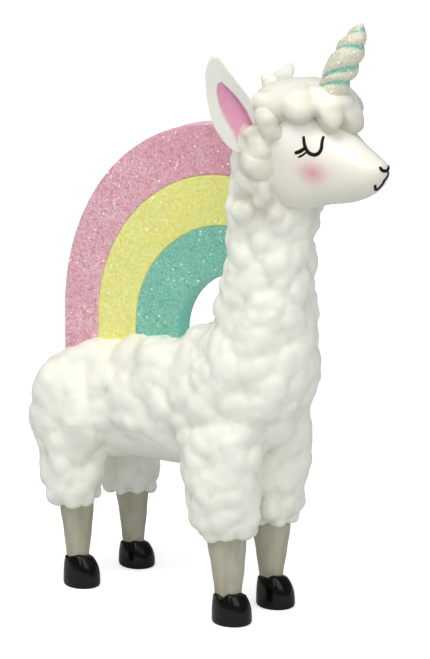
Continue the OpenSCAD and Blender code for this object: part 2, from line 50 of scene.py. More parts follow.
# Adds one shader node and gives back its outputs; a socket given to an input is linked, any other value is set on it.
def addNode(tree, kind, inputs=None, **settings):
    made = tree.nodes.new("ShaderNode" + kind)
    for key, value in settings.items():
        setattr(made, key, value)
    for key, value in (inputs or {}).items():
        if isinstance(value, bpy.types.NodeSocket):
            tree.links.new(value, made.inputs[key])
        else:
            made.inputs[key].default_value = colour(value) if isinstance(value, str) else value
    return made.outputs


def mix(tree, share, first, second):
    return addNode(tree, "Mix", {0: share, 6: first, 7: second}, data_type="RGBA")[2]


# Runs a value from one range into another with soft ends.
def mapped(tree, value, low, high, start=0.0, end=1.0):
    return addNode(tree, "MapRange", {0: value, 1: low, 2: high, 3: start, 4: end},
                   interpolation_type="SMOOTHSTEP")[0]


def calc(tree, operation, first, second=0.0):
    return addNode(tree, "Math", {0: first, 1: second}, operation=operation)[0]


def vectorCalc(tree, operation, first, second=(0.0, 0.0, 0.0)):
    return addNode(tree, "VectorMath", {0: first, 1: second}, operation=operation)[0]


def objectPlace(tree):
    return addNode(tree, "TexCoord")["Object"]


# Object coordinates squeezed along Z, which draws a pattern out into upright streaks.
def streaks(tree, squeeze):
    return addNode(tree, "Mapping", {"Vector": objectPlace(tree), "Scale": (1.0, 1.0, squeeze)})[0]


def noise(tree, size, detail=2.0, roughness=0.5, vector=None):
    return addNode(tree, "TexNoise", {"Vector": vector or objectPlace(tree), "Scale": 1 / (size * mm),
                                      "Detail": detail, "Roughness": roughness})["Fac"]


# Value with a ragged edge: a grain from 0 to 1 moves it up and down by half the amount.
def ragged(tree, value, grain, amount):
    return calc(tree, "ADD", value, calc(tree, "MULTIPLY", calc(tree, "SUBTRACT", grain, 0.5), amount))


def mark(tree, name):
    return addNode(tree, "Attribute", attribute_name=name)["Fac"]


def bump(tree, size, distance, strength, detail=2.0):
    height = noise(tree, size, detail)
    return addNode(tree, "Bump", {"Height": height, "Distance": distance * mm, "Strength": strength})[0]


def newMaterial(name):
    made = bpy.data.materials.new(name)
    made.use_nodes = True
    made.node_tree.nodes.clear()
    return made, made.node_tree


def finished(material, paint, inputs):
    surface = addNode(material.node_tree, "BsdfPrincipled", {"Base Color": paint, **inputs})[0]
    addNode(material.node_tree, "OutputMaterial", {"Surface": surface})
    return material


# Satin white paint over cast resin: a grey is painted in as shade in the creases, over the hood's tufts and under the
# crown's fringe, so that each lump of fleece reads by itself.
def fleecePaint():
    material, tree = newMaterial("satin white paint brushed over cast resin lumps")
    shadeShare = 0.5
    paint = mix(tree, noise(tree, size=13), "#f2f2e7", "#eaeadd")
    # Painted shade: a grey darkens the creases, the hood's tufts and the fringe's underside, where shade falls.
    paintedShade = calc(tree, "MULTIPLY", mark(tree, "crease_shade"), shadeShare)
    paint = mix(tree, paintedShade, paint, "#c6c2b0")
    brushed = bump(tree, size=1.3, distance=0.12, strength=0.35, detail=3)
    return finished(material, paint, {"Roughness": 0.42, "IOR": 1.5, "Normal": brushed})


# Glossy cream white face with painted light, whiter toward the forehead where light from above falls, and a soft dab of
# pink on each cheek that fades out.
cheek = {"middle": (43.7, 9.9, 135.2), "stretch": (0.74, 0.9, 1.05), "fades": (-1.4, 5.3), "uneven": 0.8}
foreheadZ = (136, 147)


def facePaint():
    material, tree = newMaterial("gloss white paint with a dabbed pink cheek")
    place = objectPlace(tree)
    middle = [length * mm for length in cheek["middle"]]
    away = vectorCalc(tree, "SUBTRACT", vectorCalc(tree, "ABSOLUTE", place), middle)
    drawn = vectorCalc(tree, "MULTIPLY", away, cheek["stretch"])
    far = addNode(tree, "VectorMath", {0: drawn}, operation="LENGTH")["Value"]
    reach = ragged(tree, far, noise(tree, size=1.6), cheek["uneven"] * mm)
    blush = mapped(tree, reach, *(r * mm for r in cheek["fades"]), 1.0, 0.0)
    height = addNode(tree, "SeparateXYZ", {0: place})[2]
    # Painted light: the face turns whiter from the lower to the upper of these heights, as light from above falls.
    paintedTopLight = mapped(tree, height, *(z * mm for z in foreheadZ))
    paint = mix(tree, noise(tree, size=9), "#e4e1d4", "#dedbcd")
    paint = mix(tree, paintedTopLight, paint, "#f8f6ee")
    paint = mix(tree, blush, paint, "#d48f96")
    flowed = bump(tree, size=2.5, distance=0.1, strength=0.2)
    return finished(material, paint, {"Roughness": 0.27, "IOR": 1.5, "Normal": flowed})


# Black brush lines: satin enamel, a little thin in places.
def linePaint():
    material, tree = newMaterial("black enamel drawn with a fine brush")
    paint = mix(tree, noise(tree, size=0.8), "#040303", "#100d0c")
    return finished(material, paint, {"Roughness": 0.5, "IOR": 1.3})


# White ear whose hollow is brushed pink, pale on the outer half; the inner wall takes painted shade in a deep pink.
def earPaint():
    material, tree = newMaterial("white paint with a pink brushed hollow")
    white = mix(tree, noise(tree, size=6), "#f0f0e8", "#e4e4d8")
    pink = mix(tree, noise(tree, size=2.2, detail=3), "#f3b6d0", "#e8a6c2")
    # Painted shade: the inner wall of the hollow, turned from the light, is painted deep pink.
    pink = mix(tree, mark(tree, "deep"), pink, "#c2709a")
    edge = ragged(tree, mark(tree, "pink"), noise(tree, size=1.4), 0.3)
    paint = mix(tree, mapped(tree, edge, 0.0, 0.4), white, pink)
    brushed = bump(tree, size=1.2, distance=0.1, strength=0.3)
    return finished(material, paint, {"Roughness": 0.4, "IOR": 1.5, "Normal": brushed})


# Glitter: small flat flakes, each with its own three tints from 0 to 1 and its own tilt.
def flakes(tree, size, lean):
    cells = addNode(tree, "TexVoronoi", {"Vector": objectPlace(tree), "Scale": 1 / (size * mm)})
    tints = addNode(tree, "SeparateColor", {0: cells["Color"]})
    turned = vectorCalc(tree, "SUBTRACT", cells["Color"], (0.5, 0.5, 0.5))
    tilt = addNode(tree, "VectorMath", {0: turned, "Scale": lean}, operation="SCALE")[0]
    normal = addNode(tree, "NewGeometry")["Normal"]
    return tints, vectorCalc(tree, "NORMALIZE", vectorCalc(tree, "ADD", normal, tilt))


# Coloured glitter: flakes run from pale to deep, a few are dark, and about one in eighty is painted white as a glint.
# They are drawn at half a millimetre, coarser than real ones, to show at this size. Painted shade deepens the colour
# toward the neck, and the walls and rounded edges of the bars are smooth, in a tone that is also a painted highlight.
def glitterPaint(name, pale, deep, dark, smoothLitEdge):
    material, tree = newMaterial(name + " glitter varnish")
    tints, facing = flakes(tree, size=0.5, lean=0.5)
    ahead = addNode(tree, "SeparateXYZ", {0: objectPlace(tree)})[0]
    # Painted shade: the colour deepens toward the neck, where the neck shades the bands.
    thick = mapped(tree, ahead, -45 * mm, 16 * mm, 0.0, 0.55)
    cloudy = mapped(tree, noise(tree, size=14), 0.35, 0.7, 0.0, 0.3)
    darkFlake = mapped(tree, tints[2], 0.86, 1.0, 0.0, 0.6)
    # About one flake in eighty is painted white as a glint.
    paintedGlint = mapped(tree, tints[1], 0.984, 0.991)
    paint = mix(tree, calc(tree, "POWER", tints[0], 1.5), pale, deep)
    # The walls and rounded edges take a smooth tone without glitter that also stands in for light caught along the
    # edges, a painted highlight.
    for share, tone in ((thick, deep), (cloudy, deep), (darkFlake, dark), (paintedGlint, "#ffffff"),
                        (mark(tree, "wall"), smoothLitEdge)):
        paint = mix(tree, share, paint, tone)
    return finished(material, paint, {"Roughness": 0.45, "IOR": 1.45, "Normal": facing})


# White glitter horn: the grooves between the strands are painted turquoise with a rough edge, and a few flakes are
# painted white as glints.
def hornPaint():
    material, tree = newMaterial("white glitter with turquoise glitter in the grooves")
    tints, facing = flakes(tree, size=0.4, lean=0.4)
    white = mix(tree, tints[0], "#cfccb5", "#e3e1cd")
    teal = mix(tree, tints[1], "#70b3a0", "#aedbc9")
    edge = ragged(tree, mark(tree, "groove"), noise(tree, size=0.8, detail=3), 0.7)
    # A few flakes are painted white as glints.
    paintedGlint = mapped(tree, tints[2], 0.976, 0.99)
    paint = mix(tree, mapped(tree, edge, 0.3, 0.62), white, teal)
    paint = mix(tree, paintedGlint, paint, "#ffffff")
    return finished(material, paint, {"Roughness": 0.42, "IOR": 1.45, "Normal": facing})


# Matt stone grey legs, smudged where the brush went over twice.
def legPaint():
    material, tree = newMaterial("matt grey beige paint with brush smudges")
    smudge = noise(tree, size=4, detail=3, roughness=0.6, vector=streaks(tree, 0.35))
    paint = mix(tree, mapped(tree, smudge, 0.35, 0.7), "#b6b39f", "#a19e8a")
    brushed = bump(tree, size=0.8, distance=0.08, strength=0.3, detail=3)
    return finished(material, paint, {"Roughness": 0.72, "IOR": 1.45, "Normal": brushed})


# Glossy black hooves: thick enamel with a slightly uneven flow.
def hoofPaint():
    material, tree = newMaterial("thick black enamel")
    paint = mix(tree, noise(tree, size=3), "#080706", "#100e0d")
    flowed = bump(tree, size=2.2, distance=0.12, strength=0.25)
    return finished(material, paint, {"Roughness": 0.16, "IOR": 1.38, "Normal": flowed})


# Drawn steel pins: fine lines along the wire.
def steelFinish():
    material, tree = newMaterial("drawn steel wire")
    grain = noise(tree, size=0.3, vector=streaks(tree, 0.05))
    paint = mix(tree, grain, "#8b8e91", "#b6b9bb")
    return finished(material, paint, {"Metallic": 1.0, "Roughness": 0.35})


paints = {
    "fleece_white": fleecePaint(),
    "face_white": facePaint(),
    "ear_white": earPaint(),
    "horn_glitter": hornPaint(),
    "glitter_pink": glitterPaint("pink", "#f8d0d9", "#d38b9d", "#a9647a", "#efcad3"),
    "glitter_yellow": glitterPaint("yellow", "#faf8a0", "#e2e17c", "#c4c462", "#dfe0a2"),
    "glitter_turquoise": glitterPaint("turquoise", "#a0dfc9", "#6bb39e", "#46897a", "#84d6c8"),
    "leg_grey": legPaint(),
    "hoof_black": hoofPaint(),
    "steel": steelFinish(),
}
blackLine = linePaint()
print("materials made:", len(paints) + 1)


def turns(count):
    return np.linspace(0, 2 * np.pi, count, endpoint=False)


def smoothStep(x, low, high):
    f = np.clip((x - low) / (high - low), 0, 1)
    return f * f * (3 - 2 * f)


# Smooth curve through stations, read at places counted in stations: a cubic through four neighbours.
def along(stations, places):
    s = np.asarray(stations, float)
    i = np.clip(np.floor(places).astype(int), 0, len(s) - 2)
    f = (places - i)[..., None]
    a, b, c, d = (s[np.clip(i + k, 0, len(s) - 1)] for k in (-1, 0, 1, 2))
    return (2 * b + (c - a) * f + (2 * a - 5 * b + 4 * c - d) * f**2 + (3 * b - a - 3 * c + d) * f**3) / 2


# Points and faces of a tube of rings; both ends are closed by a fan to the middle of the end ring.
def shell(grid):
    rows, cols = grid.shape[:2]
    points = np.concatenate([grid.reshape(-1, 3), grid[0].mean(0)[None], grid[-1].mean(0)[None]])
    i, j = np.meshgrid(np.arange(rows - 1), np.arange(cols), indexing="ij")
    k = (j + 1) % cols
    quads = np.stack([i * cols + j, i * cols + k, (i + 1) * cols + k, (i + 1) * cols + j], -1).reshape(-1, 4)
    j, k = j[0], k[0]
    low = np.stack([np.full(cols, rows * cols), k, j], -1)
    high = np.stack([np.full(cols, rows * cols + 1), (rows - 1) * cols + j, (rows - 1) * cols + k], -1)
    return points, quads.tolist() + low.tolist() + high.tolist()


# Values on a shell's grid, with none at the two middles of its ends.
def onShell(values):
    return np.concatenate([values.reshape(-1), [0, 0]])


# Round solid on a grid of longitude and latitude; six numbers give its middle and its half sizes.
def ball(lump, sides=28):
    lat = np.linspace(-np.pi / 2, np.pi / 2, sides // 2 + 1)[1:-1, None]
    lon = turns(sides)[None]
    grid = np.stack([np.cos(lat) * np.cos(lon), np.cos(lat) * np.sin(lon), np.sin(lat) + 0 * lon], -1)
    return shell(grid * lump[3:] + lump[:3])


def joined(shells):
    points, faces, count = [], [], 0
    for p, f in shells:
        points.append(p)
        faces.extend([[v + count for v in face] for face in f])
        count += len(p)
    return np.concatenate(points), faces


def newMesh(name, points, faces):
    mesh = bpy.data.meshes.new(name)
    mesh.from_pydata((np.asarray(points) * mm).tolist(), [], faces)
    mesh.update()
    return mesh


def newObject(name, data):
    made = bpy.data.objects.new(name, data)
    bpy.context.scene.collection.objects.link(made)
    return made


# Overlapping closed shells become one skin of small even squares.
def fused(shells, voxel):
    mesh = newMesh("shells", *joined(shells))
    body = newObject("shells", mesh)
    skin = body.modifiers.new("skin", "REMESH")
    skin.mode = "VOXEL"
    skin.voxel_size = voxel * mm
    made = bpy.data.meshes.new_from_object(body.evaluated_get(bpy.context.evaluated_depsgraph_get()))
    points = np.empty(len(made.vertices) * 3, np.float32)
    made.vertices.foreach_get("co", points)
    quads = np.empty(len(made.loops), np.int32)
    made.loops.foreach_get("vertex_index", quads)
    bpy.data.objects.remove(body)
    bpy.data.meshes.remove(mesh)
    bpy.data.meshes.remove(made)
    return points.reshape(-1, 3).astype(float) / mm, quads.reshape(-1, 4)


# Sum over the corners of the squares that meet at each point.
def gathered(index, values, count):
    return np.stack([np.bincount(index, weights=values[:, k], minlength=count) for k in range(values.shape[1])], -1)


# Each point moves part of the way to the mean of its neighbours, a few times over.
def relaxed(points, quads, rounds, share=0.5):
    start = quads.reshape(-1)
    end = np.roll(quads, -1, axis=1).reshape(-1)
    count = np.bincount(start, minlength=len(points))[:, None]
    for _ in range(rounds):
        points = points + share * (gathered(start, points[end], len(points)) / count - points)
    return points


def outward(points, quads):
    a, b, c, d = (points[quads[:, k]] for k in range(4))
    face = np.repeat(np.cross(c - a, d - b), 4, axis=0)
    sums = gathered(quads.reshape(-1), face, len(points))
    return sums / (np.linalg.norm(sums, axis=1, keepdims=True) + 1e-12)


# Keeps points at least their spacing apart: in each round the lowest ticket within reach stays and clears its reach.
def scattered(points, spacing, rng):
    gap = np.linalg.norm(points[:, None] - points[None], axis=-1)
    near = gap < (spacing[:, None] + spacing[None]) / 2
    ticket = rng.permutation(len(points)).astype(float)
    kept = np.zeros(len(points), bool)
    free = np.ones(len(points), bool)
    while free.any():
        drawn = np.where(free, ticket, np.inf)
        win = free & (drawn <= np.where(near, drawn[None], np.inf).min(1))
        kept |= win
        free &= ~near[win].any(0)
    return kept


# Height of the highest dome over each point; a dome is h * sqrt(1 - (distance / r)^2).
def domes(points, middles, radii, heights, parts=60):
    relief = np.zeros(len(points))
    for part in np.array_split(np.arange(len(points)), parts):
        far = np.linalg.norm(points[part, None] - middles[None], axis=-1)
        relief[part] = (heights * np.sqrt(np.clip(1 - (far / radii) ** 2, 0, None))).max(1)
    return relief


# How far a point lies below the smoothed skin: 1 deep in a crease, 0 on a lump.
def creases(points, quads, depth, rounds=14):
    sunk = ((relaxed(points, quads, rounds) - points) * outward(points, quads)).sum(1)
    return np.clip(sunk / depth, 0, 1)


# Uneven swell: the sum of plane waves of about one length that run in all directions; its usual size is 1.
def swell(points, length, rng, waves=24, shorter=0.8, longer=1.25):
    run = rng.normal(size=(waves, 3))
    run *= (2 * np.pi / length * rng.uniform(shorter, longer, waves) / np.linalg.norm(run, axis=1))[:, None]
    return np.cos(points @ run.T + rng.uniform(0, 2 * np.pi, waves)).sum(1) * np.sqrt(2 / waves)


# A size that is the same all over a skin.
def evenly(size):
    return lambda p: np.full(len(p), float(size))


# Lumpy skin: scatters of domes that vary in width and rise, raised over a fused form that swells unevenly.
def lumpy(shells, voxel, sizes, seed, tries=3600, widths=(0.85, 1.2), rises=(0.5, 1.25)):
    rng = np.random.default_rng(seed)
    points, quads = fused(shells, voxel)
    points = relaxed(points, quads, sizes["soften"])
    normal = outward(points, quads)
    relief = np.zeros(len(points))
    for length, height in sizes.get("swells", []):
        relief += height(points) * swell(points, length, rng)
    for spacing, height, spread in sizes["domes"]:
        step, tall = spacing(points), height(points)
        pick = rng.choice(len(points), min(tries, len(points)), replace=False)
        pick = pick[scattered(points[pick], step[pick], rng)]
        size = step[pick] * rng.uniform(*widths, len(pick))
        rise = tall[pick] * rng.uniform(*rises, len(pick))
        relief += domes(points, points[pick], spread * size, rise)
    points = points + normal * (relief - sizes["inset"](points))[:, None]
    return relaxed(points, quads, sizes["finish"]), quads


# One piece with its marks and paint, the body that it rides on and the nodes that it takes the place of.
def addPiece(name, points, faces, slot, nodes, marks=None, paint=None):
    mesh = newMesh(name, points, faces)
    for key, values in (marks or {}).items():
        layer = mesh.attributes.new(key, "FLOAT", "POINT")
        layer.data.foreach_set("value", np.asarray(values, np.float32))
    mesh.polygons.foreach_set("use_smooth", np.ones(len(mesh.polygons), bool))
    mesh.materials.append(paint or paints[slot])
    piece = newObject(name, mesh)
    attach(piece, "root")
    if nodes:
        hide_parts(*nodes)
    print("piece", name, len(mesh.polygons), "faces")


# Fleece body: barrel and neck are rings on a bent spine, each trouser is a stack of rings over its leg. Both are raised
# by scattered domes laid like bricks, as in the part. The hood has round tufts beside the face, the back two mounds,
# each cuff a hem of small lobes. All are fused and softened, and then covered in finer bumps.
fleece = {
    # x, z, lean of the ring, half height, half width
    "spine": [[-56.2, 52.5, 0, 5, 5], [-52.2, 53, 0, 12, 13.3], [-41, 53.8, 0, 17.2, 17.1], [-23, 56.5, 0, 18.5, 17.2],
              [-5, 59.1, 6, 19.3, 18], [10.4, 66, 32, 19.3, 18.5], [18.1, 76.5, 64, 16.6, 16.6],
              [19.3, 93, 86, 13.2, 13.4], [21.1, 110, 87, 12.2, 12.2], [22.1, 124, 87, 12, 12.2],
              [24.6, 137, 89, 12.2, 13.4], [24.8, 146, 90, 12, 13.2]],
    # ahead of the leg, inward, z, half length, half width
    "foreleg": [[0.2, 0, 24, 7.4, 7.5], [-0.2, -0.2, 29, 8.9, 9.2], [-1, -0.4, 36, 10.7, 10.3],
                [-1.6, -0.4, 45, 12.5, 10.7], [-1.8, 0.4, 54, 13.7, 10.7], [0, 2.6, 62, 11.5, 8.5],
                [1, 4, 67, 5.6, 3.8]],
    "hindLeg": [[-0.8, 0, 24, 7.5, 7.5], [-1.2, -0.2, 30, 8.4, 8.2], [-1.3, -0.2, 38, 9.6, 9.2],
                [-2.6, 1.2, 46, 12.5, 11.4], [-2.2, 2.2, 54, 12.5, 11.5], [-1.4, 3, 62, 10.8, 10.4],
                [-0.2, 5.5, 68.5, 6, 5]],
    # stations, foot, side, lift of the cuff, angle of one hem lobe
    "trousers": [("foreleg", (13, 9.7), -1, 1.0, -50), ("foreleg", (13, 9.7), 1, 0.8, -30),
                 ("hindLeg", (-41, 11.8), -1, 0.9, -56), ("hindLeg", (-41, 11.8), 1, -2.3, -75)],
    # height, spacing and sinking of the lumps, and how many go round the barrel and a trouser
    "lump": 1.5, "pitch": 9, "sunk": 0.6, "barrelLumps": 12, "trouserLumps": 7,
    # lumps are flatter up the neck, from one station to the other, and fade out under the barrel as far as the chest
    "neckFlat": 0.45, "neckAt": (5.8, 7), "bellyTurn": (0.15, 0.4), "chestAt": (4, 5.2),
    # ranges of z over which the lift of a cuff fades, its hem is drawn in, and a haunch becomes boxy and round again
    "cuffZ": (24, 36), "hemZ": (24, 27.5), "hemIn": 0.2, "hemRise": 0.9,
    "boxy": 0.45, "boxyZ": (42, 50), "roundZ": (58, 66),
    # hem lobes: size and its change, lowest z, height to width, and how far they stand out on the right and the left
    "lobes": 7, "lobe": 2.65, "lobeVary": 0.35, "lobeZ": 23.7, "lobeTall": 1.15, "lobeOut": {-1: 1, 1: 0.6},
    # middle and half sizes of the tufts on the right of the hood; the left ones mirror them
    "tufts": [(30.2, -12.9, 148.8, 3.2, 2.8, 2.8), (31.6, -12.6, 145.2, 2.4, 2.3, 2.7),
              (27.3, -12.9, 140.2, 4, 3.1, 2.9), (26.2, -13, 135.4, 4, 3.2, 3.7),
              (28.7, -11.9, 134.8, 2.6, 2.6, 3), (21.8, -12.7, 129.2, 2.9, 2.4, 3.6),
              (26.4, -12.3, 129, 3.1, 2.8, 2.8), (27.4, -11.7, 125.3, 2.9, 2.9, 2.8),
              (22, -12.4, 121, 3.6, 2.2, 3), (28.8, -9, 120.6, 3, 2.8, 2.6),
              (23.6, -13.6, 144.4, 1.5, 1.5, 1.6)],
    # middle and half sizes of the mounds beside the rainbow's front foot and behind the neck
    "mounds": [(-12.5, -5.5, 70.6, 10, 8.4, 7.4), (7.3, -10.2, 79, 4.2, 3.6, 4.2)],
    # where the belly is smooth and how far, and where finer bumps grow up the neck and draw closer to the cuffs
    "bellyZ": (44, 53), "bellyRear": (-32, -28), "bellyFront": (-4, 0), "bellySmooth": 0.92,
    "neckZ": (84, 100), "lowZ": (28, 40),
    # ranges of x, distance from the middle and z where the hood's tufts take full painted shade
    "hoodX": (18, 24), "hoodY": (7, 11), "hoodZ": (114, 124),
    "voxel": 0.62, "crease_shade": 0.5,
}


# Soft step from 0 to 1 over one of the ranges above.
def ramp(x, key):
    return smoothStep(x, *fleece[key])


# Scatter of a lump's place and size, from 0 to 1: what is left of a large sine after its whole part.
def scatter(row, col, n):
    v = 467.3 * np.sin(np.radians(97.1 * row + 151.7 * col + 61.3 * n))
    return v - np.floor(v)


# Relief of scattered domes over a brick pattern of rows and columns: near 1 on a lump, 0 in the creases.
def lumps(row, angle, around):
    col = around * angle / (2 * np.pi)
    relief = 0 * (row + col)
    for down in (-1, 0, 1):
        for over in (-2, -1, 0, 1):
            k, c = np.floor(row) + down, np.floor(col) + over
            w = c % around
            u = row - k - 0.3 - 0.4 * scatter(k, w, 1)
            v = col - c - 0.3 - 0.4 * scatter(k, w, 2) - np.abs(k) % 2 / 2
            r = 0.66 + 0.16 * scatter(k, w, 3)
            size = 0.6 + 0.4 * scatter(k, w, 4)
            relief = np.maximum(relief, size * np.sqrt(np.clip(1 - (u * u + v * v) / r**2, 0, None)))
    return relief


# Rings stand at even steps along the spine; lumps are flatter on the neck, and the belly is smooth and drawn in.
def spineShell(rows=210, sides=144):
    stations = np.array(fleece["spine"])
    steps = np.linalg.norm(np.diff(stations[:, :2], axis=0), axis=1)
    marks = np.concatenate([[0], np.cumsum(steps)])
    s = np.linspace(0, marks[-1], rows)[:, None]
    t = np.interp(s, marks, np.arange(len(marks)))
    p = along(stations, t)
    a = turns(sides)[None]
    full = 1 - fleece["neckFlat"] * ramp(t, "neckAt")
    above = 1 - ramp(-np.cos(a), "bellyTurn") * (1 - ramp(t, "chestAt"))
    relief = lumps(s / fleece["pitch"], a, fleece["barrelLumps"])
    h = fleece["lump"] * full * (above * relief - fleece["sunk"])
    lean = np.radians(p[..., 2])
    up = (p[..., 3] + h) * np.cos(a)
    return shell(np.stack([p[..., 0] - up * np.sin(lean), -(p[..., 4] + h) * np.sin(a),
                           p[..., 1] + up * np.cos(lean)], -1))


# Rings of a trouser; where it is boxy, the front half of a ring follows |cos|^(2/b) + |sin|^(2/b) = 1.
def trouserShells(which, foot, side, lift, first, rows=80, sides=90):
    stations = np.array(fleece[which])
    t = np.linspace(0, len(stations) - 1, rows)[:, None]
    p = along(stations, t)
    a = turns(sides)[None]
    z = p[..., 2]
    tall = (stations[-1, 2] - stations[0, 2]) / fleece["pitch"]
    row = 0.5 + tall * t / (len(stations) - 1)
    h = fleece["lump"] * (lumps(row, a, fleece["trouserLumps"]) - fleece["sunk"])
    low = 1 - ramp(z, "cuffZ")
    drawn = 1 - fleece["hemIn"] * (1 - ramp(z, "hemZ"))
    boxyEnd, roundFrom = fleece["roundZ"]
    squared = ramp(z, "boxyZ") * smoothStep(-z, -roundFrom, -boxyEnd)
    b = 1 - fleece["boxy"] * (which == "hindLeg") * (np.cos(a) > 0) * squared
    drawn = drawn * (np.abs(np.cos(a)) ** (2 / b) + np.abs(np.sin(a)) ** (2 / b)) ** (-b / 2)
    x = foot[0] + p[..., 0] + (p[..., 3] + h) * drawn * np.cos(a)
    y = -foot[1] + p[..., 1] + (p[..., 4] + h) * drawn * np.sin(a)
    grid = np.stack([x, y, z + lift * low + fleece["hemRise"] * low**4 + 0 * a], -1)
    made = [shell((grid * [1, -side, 1])[:, ::-side])]
    for k in range(fleece["lobes"]):
        turn = np.radians(first + 360 * k / fleece["lobes"])
        size = fleece["lobe"] + fleece["lobeVary"] * np.sin(2.4 * k + first)
        reach = stations[0, 3] + fleece["lobeOut"][side] - size
        made.append(ball([foot[0] + stations[0, 0] + reach * np.cos(turn), side * foot[1] + reach * np.sin(turn),
                          fleece["lobeZ"] + lift + size, size, size, size * fleece["lobeTall"]], sides=20))
    return made


# Share of the finer bumps: all but the belly between the legs takes them in full.
def woolly(p):
    below = 1 - ramp(p[:, 2], "bellyZ")
    belly = below * ramp(p[:, 0], "bellyRear") * (1 - ramp(p[:, 0], "bellyFront"))
    return 1 - fleece["bellySmooth"] * belly


shells = [spineShell()]
for trouser in fleece["trousers"]:
    shells.extend(trouserShells(*trouser))
for x, y, *rest in fleece["tufts"]:
    shells.extend(ball([x, -side * y, *rest]) for side in (-1, 1))
shells.extend(ball(lump) for lump in fleece["mounds"])
# Spacing, height and spread of large domes, closer at the cuffs, and of small ones; both are taller up the neck.
points, quads = lumpy(shells, fleece["voxel"], {
    "soften": 2, "finish": 4, "inset": lambda p: 0.8 * woolly(p), "swells": [(15, lambda p: 0.45 * woolly(p))],
    "domes": [(lambda p: 6.6 - 1.4 * (1 - ramp(p[:, 2], "lowZ")),
               lambda p: (1.05 + 0.45 * ramp(p[:, 2], "neckZ")) * woolly(p), 0.75),
              (evenly(3.9), lambda p: (0.5 + 0.3 * ramp(p[:, 2], "neckZ")) * woolly(p), 0.7)],
}, seed=11)
x, y, z = points.T
# Painted shade: besides the creases, the shade mark is full over the hood's tufts, which face sideways and down.
hoodShade = ramp(z, "hoodZ") * ramp(np.abs(y), "hoodY") * ramp(x, "hoodX")
addPiece("fleece_skin", points, quads.tolist(), "fleece_white", ["body_fleece"],
         {"crease_shade": np.maximum(creases(points, quads, fleece["crease_shade"]), hoodShade)})

# Crown: a dome over polar angle and a place t that is 0 at the top, 1 at the widest and 2 at the lower edge. Its rim is
# a fringe of lobes with a bevel below; between two lobes the skin is dented and the edge rises.
crown = {
    "middle": (33.2, 146.1), "half": (16.9, 14), "ahead": 1.4, "height": 11.2, "bevel": 2.8,
    # roundness of the dome at its sides and what the front adds to it, and how the bevel tucks in
    "bend": 0.83, "frontBend": 0.2, "tuck": 0.24, "tuckPower": 1.6,
    # angle, dent and height of the notches round the rim, and the lower edge of the lobe after each
    "notches": [(-180, 1.1, 0.7), (-146, 1.1, 0.7), (-114, 1.1, 1.2), (-84, 1.4, 2.6), (-45, 2.3, 4.4), (-12, 2.2, 1.9),
                (36, 2.2, 2.4), (62, 2.2, 4.4), (92, 1.1, 2.6), (120, 1.1, 1.2), (148, 1.1, 0.7), (180, 1.1, 0.7)],
    "low": [0.2, 0.2, 1, 1.5, -0.8, -2.4, 0.4, 1.7, 1, 0.2, 0.2],
    "lobePower": 1.9, "edgePower": 1.7,
    # size and lift of the ring that closes the crown from inside
    "lining": 0.6, "liningUp": 1.2,
    # middle and half sizes of lumps before the ears, of a curl behind the left one and of mounds at the horn
    "lumps": [(27, -11, 152.4, 3.4, 3.2, 3.2), (27, 11, 152.4, 3.4, 3.2, 3.2),
              (18.6, 1.8, 153, 2.2, 2, 2.4), (17.6, 1.4, 155.4, 1.5, 1.5, 1.6),
              (19.6, 2.2, 155.2, 1.4, 1.4, 1.3), (40.2, -4.2, 154.1, 5.6, 4.2, 3.9),
              (44, -1.2, 153.1, 5, 6.8, 3.4)],
    # depth below the top of the bevel over which the fringe's underside takes painted shade, and the strength of that
    # painted shade
    "shadeDepths": (-8.5, 1), "paintedShade": 1.6, "voxel": 0.36, "crease_shade": 0.5,
}


# Place on the rim at an angle: how full its lobe is there, the dent and the lower edge.
def onRim(angle):
    notch = np.array(crown["notches"])
    i = np.clip(np.searchsorted(notch[:, 0], angle, "right") - 1, 0, len(notch) - 2)
    f = (angle - notch[i, 0]) / (notch[i + 1, 0] - notch[i, 0])
    dent = notch[i, 1] + (notch[i + 1, 1] - notch[i, 1]) * f
    near = np.where(f < 0.5, notch[i, 2], notch[i + 1, 2])
    low = np.array(crown["low"])[i]
    off = np.abs(2 * f - 1)
    return 1 - off ** crown["lobePower"], dent, low + (near - low) * off ** crown["edgePower"]


def crownGrid(rows=100, sides=360):
    angle = np.linspace(-180, 180, sides, endpoint=False)[None]
    bulge, deep, low = onRim(angle)
    t = np.linspace(0.03, 2, rows)[:, None]
    quarter = np.pi / 2 * np.minimum(1, t)
    a = np.radians(angle)
    bend = crown["bend"] + crown["frontBend"] * np.clip(np.cos(a), 0, 1) ** 2
    up = np.clip(np.cos(quarter), 0, 1) ** bend
    tucked = 1 - crown["tuck"] * np.maximum(t - 1, 0) ** crown["tuckPower"]
    out = np.where(t > 1, tucked, np.sin(quarter) ** bend)
    dent = deep * (1 - bulge) * smoothStep(1.1 - up, 0.25, 1)
    bevel = crown["bevel"]
    z = np.where(t > 1, low + bevel * (2 - t), low + bevel + (crown["height"] - low - bevel) * up)
    halfL = crown["half"][0] + crown["ahead"] * np.cos(a)
    return np.stack([crown["middle"][0] + (halfL * out - dent) * np.cos(a),
                     (crown["half"][1] * out - dent) * np.sin(a), crown["middle"][1] + z], -1)


grid = crownGrid()
midX, baseZ = crown["middle"]
inside = np.stack([midX + crown["lining"] * (grid[-1, :, 0] - midX), crown["lining"] * grid[-1, :, 1],
                   grid[-1, :, 2] + crown["liningUp"]], -1)
grid = np.concatenate([grid, inside[None]])
shells = [shell(grid[:, ::-1])] + [ball(lump) for lump in crown["lumps"]]
points, quads = lumpy(shells, crown["voxel"], {
    "soften": 12, "finish": 2, "inset": evenly(0), "domes": [(evenly(6), evenly(0.12), 0.8)],
}, seed=5)
around = np.degrees(np.arctan2(points[:, 1], points[:, 0] - midX))
